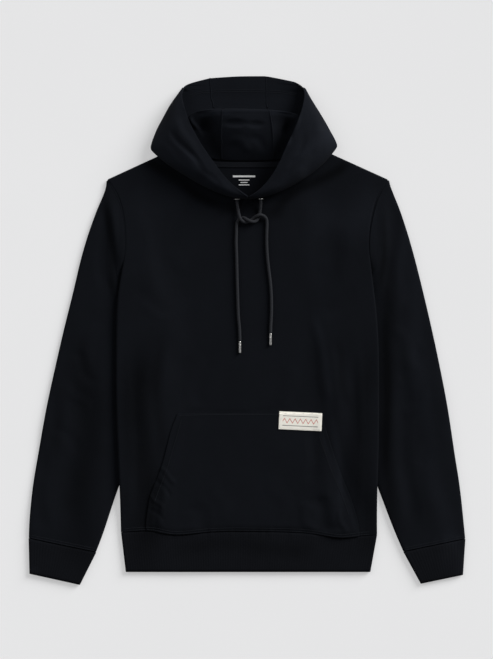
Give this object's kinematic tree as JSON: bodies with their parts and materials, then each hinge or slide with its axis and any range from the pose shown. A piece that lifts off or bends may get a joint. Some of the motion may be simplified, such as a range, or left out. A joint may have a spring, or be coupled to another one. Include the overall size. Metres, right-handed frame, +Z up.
{
  "type": "pullover hoodie",
  "caption": "Pullover hooded sweatshirt laid flat, front up, with a kangaroo pocket, ribbed cuffs and waistband, three-panel hood and knotted drawcords.",
  "frame": {"origin": "on the surface that the garment lies on, under the middle of its outline", "axes": "+Y from the hem towards the hood, +X to the right as the front is seen from above, +Z up from the surface"},
  "size_m": [0.742, 0.8643, 0.0483],
  "materials": {
    "fleece": "black cotton fleece, matt, with a slight nap",
    "rib_knit": "black ribbed knit, matt",
    "tape": "black herringbone twill tape",
    "woven_label": "cream woven patch, plain",
    "cord": "charcoal braided cotton",
    "metal": "dark satin nickel"
  },
  "bodies": {
    "root": {"front_body": "fleece", "back_body": "fleece", "sleeve_left": "fleece", "sleeve_right": "fleece", "cuff_left": "rib_knit", "cuff_right": "rib_knit", "hem_band": "rib_knit", "pocket": "fleece", "label": "woven_label", "hood_left": "fleece", "hood_centre": "fleece", "hood_right": "fleece", "neck_tape": "tape", "eyelet_left": "metal", "eyelet_right": "metal", "drawcord_left": "cord", "drawcord_right": "cord", "aglet_left": "metal", "aglet_right": "metal"}
  },
  "joints": []
}
